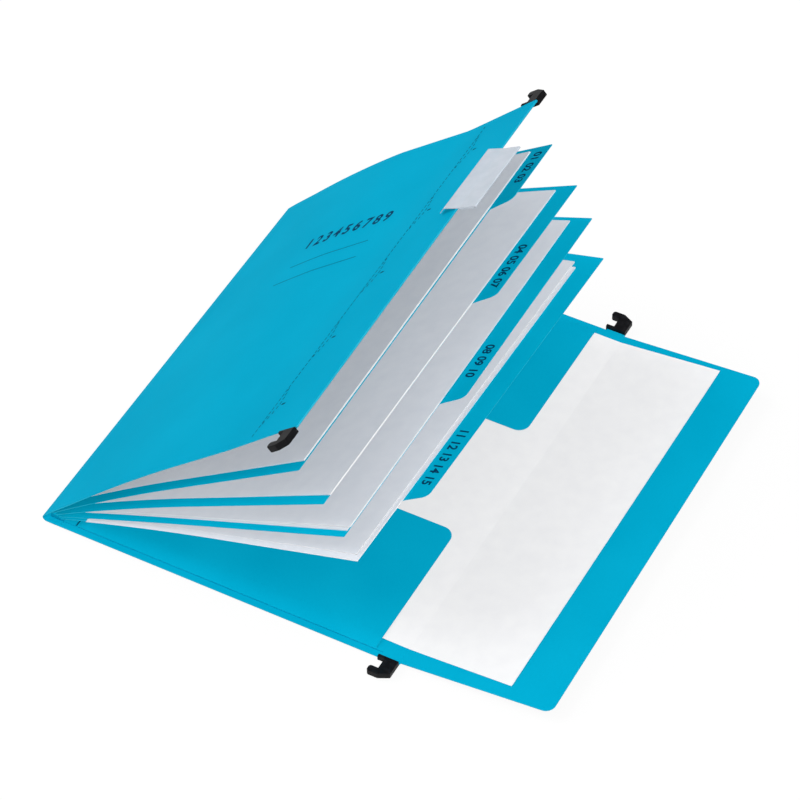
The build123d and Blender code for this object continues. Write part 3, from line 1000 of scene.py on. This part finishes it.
for sheet in filed_sheets:
    leaf = divider_leaves[sheet.divider]
    start = filed_start + sheet.outwards
    outline = rectangle(
        start, start + sheet_depth, sheet.shift - sheet_length / 2, sheet.shift + sheet_length / 2
    )
    paper = cut_flat(sheet.name, outline, (6 * MM, 9 * MM), punched_holes())
    looseness = paper.vertex_groups.new(name=LOOSENESS)
    for vertex in paper.data.vertices:
        free = smooth_step((vertex.co.x - start) / sheet_depth * 2 - 1)
        looseness.add([vertex.index], free, "REPLACE")
        thick = sheet_paper + (loose_stack - sheet_paper) * free
        level = divider_card / 2 + filed_lift + thick / 2 + sheet.layer * (thick + filed_lift)
        wave = 0.5 + 0.5 * math.sin(vertex.co.y / curl_wave + sheet.divider * 1.7 + sheet.layer)
        vertex.co.z = level + sheet.curl * free * (0.6 + 0.4 * wave)
    # Painted shade on the faces, painted highlight on the cut edge.
    bend(paper, leaf_lines(leaf), leaf.reach, [paper_white, paper_edge_highlight], loose_stack, sheet_paper / loose_stack)
    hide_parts(sheet.node)
    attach(paper, f"leaf_{sheet.divider + 1}")
print("filed sheets:", len(filed_sheets))

# %% [markdown]
# ## Fasteners
#
# Under each divider lies a thin steel strip. Its two prongs come up through the sheets and are pressed flat over
# a keeper bar. They bend with the card, so they go through the same tree.

# %% Keepers and prongs
keeper_size = (9 * MM, 100 * MM, 0.3 * MM)
strip_size = (8 * MM, 96 * MM, 0.25 * MM)
prong_size = (4 * MM, 26 * MM, 0.25 * MM)
bar_round = 0.42
seat_gap = 0.05 * MM


def steel_bar(name, size, centre_y, level, leaf):
    """Flat bar across the fastener's line, bent with its leaf."""
    depth, length, thick = size
    outline = rectangle(
        fastener_distance - depth / 2,
        fastener_distance + depth / 2,
        centre_y - length / 2,
        centre_y + length / 2,
        depth * bar_round,
    )
    bar = cut_flat(name, outline, (3 * MM, 12 * MM))
    lift(bar, level + thick / 2)
    return bend(bar, leaf_lines(leaf), leaf.reach, [strip_steel], thick)


sheet_counts = (1, 1, 2, 2)
for index, leaf in enumerate(divider_leaves):
    body = f"leaf_{index + 1}"
    stack_top = divider_card / 2 + sheet_counts[index] * (sheet_paper + filed_lift) + 0.02 * MM
    keeper_bar = steel_bar(f"keeper_bar_{index + 1}", keeper_size, 0, stack_top, leaf)
    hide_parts(f"keeper_{index + 1}")
    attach(keeper_bar, body)
    under = -divider_card / 2 - seat_gap - strip_size[2]
    strip_bar = steel_bar(f"prong_strip_{index + 1}", strip_size, 0, under, leaf)
    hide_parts(f"tongue_strip_{index + 1}")
    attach(strip_bar, body)
    for side in (-1, 1):
        prong_y = side * (prong_spacing - prong_size[1]) / 2
        prong = steel_bar(
            f"prong_{index + 1}_{'near' if side < 0 else 'far'}",
            prong_size,
            prong_y,
            stack_top + keeper_size[2] + seat_gap,
            leaf,
        )
        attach(prong, body)
    print("fastener", index + 1, "has its keeper", round(stack_top / MM, 2), "mm above the card's middle")

# %% [markdown]
# ## Pocket
#
# The pocket is one card with a wide cut-out between two rounded lobes. It is glued along three sides, so it
# drops to the board there, and it stands a little open in front to take a sheet.

# %% Pocket card
pocket_start = 24 * MM
pocket_reach = rear_end - spine_x - 18.7 * MM
pocket_card = 0.4 * MM
pocket_level = 2.55 * MM
cutout_half_width = 47.75 * MM
cutout_centre = 0.3 * MM
cutout_start = pocket_reach - 79.8 * MM
cutout_fillet = 8 * MM
seam = 6 * MM
cutout_sides = (cutout_centre - cutout_half_width, cutout_centre + cutout_half_width)
pocket_outline = rounded(
    [
        (pocket_start, -board_half_width, 0),
        (pocket_reach, -board_half_width, 0),
        (pocket_reach, cutout_sides[0], cutout_fillet),
        (cutout_start, cutout_sides[0], cutout_fillet),
        (cutout_start, cutout_sides[1], cutout_fillet),
        (pocket_reach, cutout_sides[1], cutout_fillet),
        (pocket_reach, board_half_width, 0),
        (pocket_start, board_half_width, 0),
    ]
)
pocket_sheet_card = cut_flat("pocket_card", pocket_outline, (6 * MM, 6 * MM))
seated = board_top + pocket_card / 2 + 0.05 * MM
floor_lines = [[Vector((spine_x, 0, 0)), Vector((rear_end, 0, 0))]] * 2
for vertex in pocket_sheet_card.data.vertices:
    inside = min(board_half_width - abs(vertex.co.y), vertex.co.x - pocket_start)
    vertex.co.z = seated + (pocket_level - seated) * smooth_step(inside / seam)
bend(pocket_sheet_card, floor_lines, rear_end - spine_x, [card_blue, card_cut], pocket_card)
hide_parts("pocket")
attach(pocket_sheet_card, "rear")
print("pocket card faces:", len(pocket_sheet_card.data.polygons))

# %% [markdown]
# ## Index flap and loose sheet
#
# The strip over the rear rail carries on past a crease as the long index flap, so both are one card here. The
# loose sheet starts inside the pocket and lies over the crease onto the flap. Both bend at the crease, so they
# share the helper that makes the creased line.

# %% Flap card
flap_reach = 102 * MM
flap_root_inset = 1.2 * MM
flap_fillet = 6.5 * MM
flap_near_tilt = 3.8
flap_far_tilt = 6.2
flap_shoulder = (0.9 * MM, 0.2 * MM)
crease_soft = 1.2 * MM
crease_offsets = (-1.2, -0.7, -0.3, 0, 0.3, 0.7, 1.2)
sleeve_middle = crease.z + cover_card / 2


def crease_line(start, rise, tilt, past):
    """Line along the rail's strip and out along the tilted flap, with a soft crease."""
    corner = Vector((crease.x, 0, crease.z + rise))
    before = corner - Vector((crease_soft, 0, 0))
    after = corner + outward(tilt) * crease_soft
    bend_points = interpolate_bezier(before, corner, corner, after, 8)
    return [Vector((start, 0, corner.z)), *[p.copy() for p in bend_points], corner + outward(tilt) * past]


flap_start = rear_end - sleeve_depth
flap_lines = [
    crease_line(flap_start, sleeve_middle - crease.z, tilt, flap_reach) for tilt in (flap_near_tilt, flap_far_tilt)
]
flap_length = crease.x - flap_start + flap_reach
step_at = crease.x - flap_start
flap_root = half_width - flap_root_inset
flap_outline = rounded(
    [
        (0, -half_width, 0),
        (step_at - flap_shoulder[0], -half_width, 0),
        (step_at + flap_shoulder[1], -flap_root, 0),
        (flap_length, -board_half_width, flap_fillet),
        (flap_length, board_half_width, flap_fillet),
        (step_at + flap_shoulder[1], flap_root, 0),
        (step_at - flap_shoulder[0], half_width, 0),
        (0, half_width, 0),
    ]
)
crease_slices = [step_at + offset * MM for offset in crease_offsets]
flap_card = cut_flat("flap_card", flap_outline, (8 * MM, 12 * MM), creases=crease_slices)
bend(flap_card, flap_lines, flap_length, [card_blue, card_cut], cover_card)
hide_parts("index_flap", "rear_sleeve")
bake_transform(flap_card)
print("flap card, flat length in mm:", round(flap_length / MM, 1))

# %% [markdown]
# ## Loose sheet
#
# The sheet was pushed in by hand, so it lies slightly turned. It is cut flat and turned about its far corner
# before it is bent, and a soft rise lifts it off the flap towards its outer edge.

# %% Loose sheet
loose_sheet_out = 73 * MM
loose_offset = 2.4 * MM
loose_lift = 0.65 * MM
loose_turn = math.radians(0.43)
loose_margin = 4 * MM
loose_rise = 0.5 * MM
loose_start = crease.x + loose_sheet_out - sheet_depth - loose_margin
loose_lines = [
    crease_line(loose_start, loose_lift, tilt, loose_sheet_out) for tilt in (flap_near_tilt, flap_far_tilt)
]
loose_corner = Vector((loose_margin + sheet_depth, loose_offset + sheet_length / 2))
loose_outline = [
    loose_corner + Matrix.Rotation(-loose_turn, 2) @ (corner - loose_corner)
    for corner in rectangle(loose_margin, loose_corner.x, loose_corner.y - sheet_length, loose_corner.y)
]
loose_step = crease.x - loose_start
loose_slices = [loose_step + offset * MM for offset in crease_offsets]
loose_sheet = cut_flat("loose_sheet", loose_outline, (6 * MM, 9 * MM), creases=loose_slices)
for vertex in loose_sheet.data.vertices:
    free = smooth_step((vertex.co.x - loose_step) / loose_sheet_out)
    vertex.co.z = loose_rise * free
# The brighter copy of the paper is painted light.
bend(loose_sheet, loose_lines, loose_margin + sheet_depth, [paper_loose, paper_edge_highlight], sheet_paper)
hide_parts("pocket_sheet", "pocket_sheet_end")
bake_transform(loose_sheet)
print("loose sheet turned by", round(math.degrees(loose_turn), 2), "degrees")

# %% [markdown]
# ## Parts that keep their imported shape
#
# The hooks, the rear rail, the strip and board at the spine and the label's insert are rigid or flat, and their
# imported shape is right. They only need their finish. One hook sits at the end of the front cover that the twist
# lifts, so a copy of it is moved up with the cover's edge.

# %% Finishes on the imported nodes
def dress(node, material):
    """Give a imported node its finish."""
    node_mesh = frame["nodes"][node].data
    node_mesh.materials.clear()
    node_mesh.materials.append(material)


packed_finishes = {
    "inner_board": card_blue,
    "binding_strip": card_blue,
    "rear_rail": strip_steel,
    "rear_hook_near": hook_black,
    "rear_hook_far": hook_black,
    "front_hook_near": hook_black,
    "label_insert": paper_white,
}
for node, material in packed_finishes.items():
    dress(node, material)
print("packed nodes that keep their shape:", list(packed_finishes))

# %% The hook that goes up with the twist
packed_angle = 43.3
packed_bow = 7.0 * MM
hook_setback = 1.5 * MM
merge_distance = 0.001 * MM
packed_edge = front_leaf.hinge + outward(packed_angle) * front_reach
hook_lift = cover_lines[1][-1] - packed_edge - outward(packed_angle) * hook_setback
packed_hook = frame["nodes"]["front_hook_far"]
lifted_mesh = packed_hook.data.copy()
hook_builder = bmesh.new()
hook_builder.from_mesh(lifted_mesh)
bmesh.ops.remove_doubles(hook_builder, verts=hook_builder.verts, dist=merge_distance)
hook_builder.to_mesh(lifted_mesh)
hook_builder.free()
lifted_mesh.transform(Matrix.Translation(hook_lift) @ packed_hook.matrix_world)
lifted_mesh.materials.clear()
lifted_mesh.materials.append(hook_black)
lifted_hook = bpy.data.objects.new("lifted_hook_far", lifted_mesh)
scene.collection.objects.link(lifted_hook)
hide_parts("front_hook_far")
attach(lifted_hook, "front")
print("far hook lifted by", round(hook_lift.length / MM, 2), "mm")

# %% [markdown]
# ## Slits in the inner board
#
# The board is cut through at each end beside the spine, so that it can fold. Each cut is drawn as a thin dark
# strip on the board, painted shade for its gap.

# %% Slits at the ends of the inner board
slit_distance = 21.7 * MM
slit_length = 9 * MM
slit_width = 0.9 * MM
slit_margin = 0.4 * MM
slit_lift = 0.03 * MM
for side, end in ((-1, "near"), (1, "far")):
    slit_ends = sorted((side * (board_half_width - slit_margin), side * (board_half_width - slit_length)))
    slit_outline = rectangle(slit_distance, slit_distance + slit_width, *slit_ends, slit_width / 2.2)
    # A dark strip on the board, painted shade for the gap of the cut.
    slit_shade = cut_flat(f"board_slit_{end}", slit_outline, (slit_length, slit_length))
    lift(slit_shade, board_top + slit_lift)
    bend(slit_shade, floor_lines, rear_end - spine_x, [rule_ink_and_cut_shade])
    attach(slit_shade, "rear")
print("slits at", round(slit_distance / MM, 1), "mm from the spine")

# %% [markdown]
# ## Label tab
#
# The label tab is one strip of milky film. Its foot stands on the cover, it folds over at a ridge, runs out past
# the cover's edge, turns at the tip and comes back under the paper insert, which slides between the two walls.

# %% Label film
label_foot = 14.5 * MM
label_ridge = 8.8 * MM
label_ridge_lift = 2.6 * MM
label_blade = 15 * MM
label_turn = 10.0
label_film = 0.4 * MM
label_depth = 1.5 * MM
label_margin = 1.2 * MM
label_wall = 0.5 * MM
label_gap = 0.05 * MM
ridge_round = 1.5 * MM
label_centre = (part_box("label_insert")[0].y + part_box("label_insert")[1].y) / 2
label_width = 61 * MM
label_corner = 5 * MM


def label_line():
    """Line of the film: foot, ridge, upper wall, turn and lower wall."""
    edge_line = bowed_line(front_leaf.hinge, packed_angle, packed_bow, front_reach)
    way = (edge_line[-1] - edge_line[-2]).normalized()
    slope = math.degrees(math.atan2(way.z, way.x))
    share = (label_centre + half_width) / (2 * half_width)
    card_edge = cover_lines[0][-1].lerp(cover_lines[1][-1], share)
    seat = card_edge + outward(slope + 90) * (cover_card / 2 + label_gap + label_wall / 2)
    root = edge_line[-1] + outward(slope + 90) * (cover_card / 2 + label_gap)
    root += way * (label_margin - 2 * label_wall)
    blade = outward(slope - label_turn)
    above = outward(slope - label_turn + 90)
    upper = label_depth - label_wall / 2
    lower = label_wall / 2
    turn_radius = (upper - lower) / 2
    turn_centre = root + blade * (label_blade - turn_radius - label_wall / 2) + above * (upper + lower) / 2
    foot = seat - way * label_foot
    ridge = seat - way * label_ridge + outward(slope + 90) * label_ridge_lift
    wall_start = root + blade * 1.6 * MM + above * upper
    rise = ridge + (foot - ridge).normalized() * ridge_round
    fall = ridge + (wall_start - ridge).normalized() * ridge_round
    fold = interpolate_bezier(rise, ridge, ridge, fall, 8)
    turn = []
    for index in range(9):
        angle = math.pi * index / 8
        turn.append(turn_centre + above * turn_radius * math.cos(angle) + blade * turn_radius * math.sin(angle))
    return [foot, *[point.copy() for point in fold], wall_start, *turn, root + blade * 0.8 * MM + above * lower]


film_line = label_line()
film_length = line_length(film_line)
film_sides = (label_centre - label_width / 2, label_centre + label_width / 2)
film_outline = rounded(
    [
        (0, film_sides[0], 1 * MM),
        (film_length, film_sides[0], 1 * MM),
        (film_length, film_sides[1], 1 * MM),
        (0, film_sides[1], label_corner),
    ]
)
label_strip = cut_flat("label_film", film_outline, (0.5 * MM, 15 * MM))
bend(label_strip, (film_line, film_line), film_length, [clear_plastic], label_film)
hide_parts("label_holder")
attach(label_strip, "front")
print("label film, flat length in mm:", round(film_length / MM, 1))

# %% [markdown]
# ## Floor and world
#
# The floor is pale and keeps a soft shadow. Rays from the camera see most of it as plain white, and so do glossy
# and transmitted rays, so that film and plastic show the same background. It lies a little below the folder,
# because the bowed cover dips when it is opened right over.

# %% Floor and world
floor_mesh = bpy.data.meshes.new("floor")
floor_size = 6.0
floor_level = -1.3 * MM
floor_mesh.from_pydata(
    [(x * floor_size, y * floor_size, floor_level) for x, y in ((-1, -1), (1, -1), (1, 1), (-1, 1))],
    [],
    [(0, 1, 2, 3)],
)
floor = bpy.data.objects.new("floor", floor_mesh)
scene.collection.objects.link(floor)

floor_material = bpy.data.materials.new("floor_white")
floor_material.use_nodes = True
floor_tree = floor_material.node_tree
floor_shader = floor_tree.nodes["Principled BSDF"]
floor_shader.inputs["Base Color"].default_value = (0.9, 0.9, 0.9, 1)
floor_shader.inputs["Roughness"].default_value = 0.9
glow = floor_tree.nodes.new("ShaderNodeEmission")
glow.inputs["Color"].default_value = (1, 1, 1, 1)
rays = floor_tree.nodes.new("ShaderNodeLightPath")
seen = link_math(floor_tree, "MAXIMUM", rays.outputs["Is Camera Ray"], rays.outputs["Is Glossy Ray"])
seen = link_math(floor_tree, "MAXIMUM", seen, rays.outputs["Is Transmission Ray"])
glow_share = link_math(floor_tree, "MULTIPLY", seen, 0.8)
floor_mix = floor_tree.nodes.new("ShaderNodeMixShader")
floor_tree.links.new(glow_share, floor_mix.inputs["Fac"])
floor_tree.links.new(floor_shader.outputs[0], floor_mix.inputs[1])
floor_tree.links.new(glow.outputs[0], floor_mix.inputs[2])
floor_tree.links.new(floor_mix.outputs[0], floor_tree.nodes["Material Output"].inputs["Surface"])
floor_mesh.materials.append(floor_material)

world = bpy.data.worlds.new("studio")
scene.world = world
world.use_nodes = True
world.node_tree.nodes["Background"].inputs["Color"].default_value = (1, 1, 1, 1)
world.node_tree.nodes["Background"].inputs["Strength"].default_value = 0.22
print("floor", round(-floor_level / MM, 1), "mm below the folder")

# %% [markdown]
# ## Lamps
#
# One soft lamp stands on the open side and casts no shadow, so that it reaches in between the leaves, and one
# stands on the cover's side. Light that goes to and fro between blue card and paper would tint the paper, so a
# single bounce is kept.

# %% Lamps
def make_sun(name, energy, spread, place):
    """Soft sun lamp that shines from a place towards the folder."""
    light = bpy.data.lights.new(name, "SUN")
    light.energy = energy
    light.angle = math.radians(spread)
    lamp = bpy.data.objects.new(name, light)
    lamp.location = place
    lamp.rotation_mode = "QUATERNION"
    lamp.rotation_quaternion = (-Vector(place)).to_track_quat("-Z", "Y")
    scene.collection.objects.link(lamp)
    return light


open_side = make_sun("open_side", 2.8, 10, (0.34, -0.28, 0.9))
open_side.use_shadow = False
make_sun("cover_side", 1.0, 45, (-0.8, -0.15, 0.65))
scene.cycles.diffuse_bounces = 1
print("lamps:", [light.name for light in bpy.data.lights])

# %% [markdown]
# ## Camera
#
# The camera stands where the photograph was taken from. Its place, target, roll and focal length were fitted until
# the folder's corners fell where the photograph has them.

# %% Camera
camera_place = Vector((0.77343, -1.39368, 1.75125))
camera_target = Vector((-0.02765, 0.03887, 0))
camera_roll = math.radians(-1.259)
camera = bpy.data.objects.new("camera", bpy.data.cameras.new("camera"))
camera.data.sensor_width = 36
camera.data.lens = 164.2
back = (camera_place - camera_target).normalized()
level_right = Vector((0, 0, 1)).cross(back).normalized()
level_up = back.cross(level_right)
right = level_right * math.cos(camera_roll) + level_up * math.sin(camera_roll)
up = level_up * math.cos(camera_roll) - level_right * math.sin(camera_roll)
camera.matrix_world = Matrix.Translation(camera_place) @ Matrix((right, up, back)).transposed().to_4x4()
scene.collection.objects.link(camera)
scene.camera = camera
scene.view_settings.view_transform = "Standard"
print("camera stands", round((camera_place - camera_target).length, 2), "m away")

# %% [markdown]
# ## Last update
#
# The scene is brought up to date once more.

# %% Last update of the scene
bpy.context.view_layer.update()
